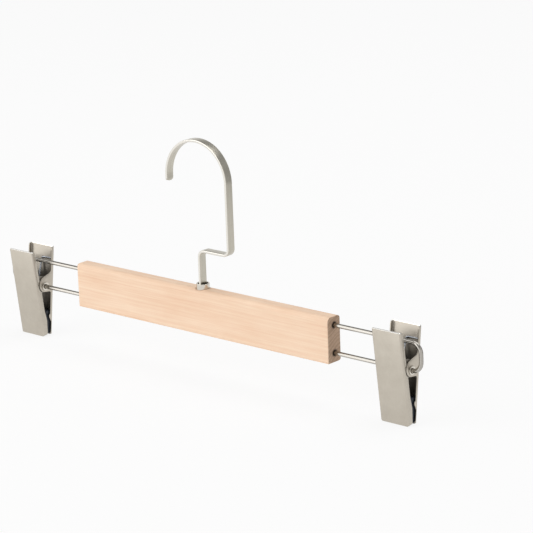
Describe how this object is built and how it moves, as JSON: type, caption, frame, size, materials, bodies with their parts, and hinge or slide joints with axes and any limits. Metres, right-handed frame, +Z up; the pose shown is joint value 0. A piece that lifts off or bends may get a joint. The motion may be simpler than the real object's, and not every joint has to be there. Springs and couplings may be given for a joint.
{
  "type": "trouser hanger",
  "caption": "Trouser hanger with a wooden bar that turns under a flat strip hook and sprung clips that slide and swing on wire loops at its ends.",
  "frame": {"origin": "centre of the hook's arc, halfway across the strip: the line of the rail that the hanger hangs on", "axes": "+X along the wooden bar towards the hook's stem, +Y towards the back, +Z up"},
  "size_m": [0.3592, 0.0216, 0.1579],
  "materials": {
    "wood": "natural pale wood, sanded smooth, unvarnished look with a faint sheen",
    "hook_steel": "satin nickel, brushed along the strip",
    "wire": "bright nickel plate",
    "turned_steel": "turned, nickel plated",
    "clip_steel": "stamped sheet in fine matt pearl nickel",
    "spring_steel": "bright spring wire",
    "rubber": "matt blue-black rubber"
  },
  "bodies": {
    "hook": {"hook": "hook_steel", "swivel_stud": "turned_steel", "hook_cross_pin": "turned_steel"},
    "bar": {"wooden_bar": "wood", "ferrule": "turned_steel", "hook_washer": "turned_steel", "left_wire_loop": "wire", "right_wire_loop": "wire"},
    "left_slider": {"left_pivot_sleeve": "spring_steel"},
    "left_clip": {"left_spring": "spring_steel"},
    "left_front_jaw": {"left_front_plate": "clip_steel", "left_front_pad": "rubber"},
    "left_rear_jaw": {"left_rear_plate": "clip_steel", "left_rear_pad": "rubber"},
    "right_slider": {"right_pivot_sleeve": "spring_steel"},
    "right_clip": {"right_spring": "spring_steel"},
    "right_front_jaw": {"right_front_plate": "clip_steel", "right_front_pad": "rubber"},
    "right_rear_jaw": {"right_rear_plate": "clip_steel", "right_rear_pad": "rubber"}
  },
  "joints": [
    {"name": "bar_swivel", "type": "hinge", "parent": "hook", "child": "bar", "pos_m": [0, 0, -0.08], "axis": [0, 0, 1], "continuous": true},
    {"name": "left_clip_slide", "type": "slide", "parent": "bar", "child": "left_slider", "axis": [1, 0, 0], "range_m": [0, 0.0375]},
    {"name": "left_clip_swing", "type": "hinge", "parent": "left_slider", "child": "left_clip", "pos_m": [-0.15965, 0, -0.096], "axis": [1, 0, 0], "range_deg": [-5, 5]},
    {"name": "left_front_jaw_open", "type": "hinge", "parent": "left_clip", "child": "left_front_jaw", "pos_m": [-0.15965, 0, -0.096], "axis": [-1, 0, 0], "range_deg": [0, 12], "stiffness_Nm_per_rad": 0.3, "deforming": ["left_spring"]},
    {"name": "left_rear_jaw_open", "type": "hinge", "parent": "left_clip", "child": "left_rear_jaw", "pos_m": [-0.15965, 0, -0.096], "axis": [1, 0, 0], "range_deg": [0, 12], "stiffness_Nm_per_rad": 0.3},
    {"name": "right_clip_slide", "type": "slide", "parent": "bar", "child": "right_slider", "axis": [-1, 0, 0], "range_m": [0, 0.0375]},
    {"name": "right_clip_swing", "type": "hinge", "parent": "right_slider", "child": "right_clip", "pos_m": [0.15965, 0, -0.096], "axis": [1, 0, 0], "range_deg": [-5, 5]},
    {"name": "right_front_jaw_open", "type": "hinge", "parent": "right_clip", "child": "right_front_jaw", "pos_m": [0.15965, 0, -0.096], "axis": [-1, 0, 0], "range_deg": [0, 12], "stiffness_Nm_per_rad": 0.3, "deforming": ["right_spring"]},
    {"name": "right_rear_jaw_open", "type": "hinge", "parent": "right_clip", "child": "right_rear_jaw", "pos_m": [0.15965, 0, -0.096], "axis": [1, 0, 0], "range_deg": [0, 12], "stiffness_Nm_per_rad": 0.3}
  ],
  "couplings": [
    {"joint": "left_rear_jaw_open", "follows": "left_front_jaw_open", "ratio": 1},
    {"joint": "right_rear_jaw_open", "follows": "right_front_jaw_open", "ratio": 1}
  ]
}
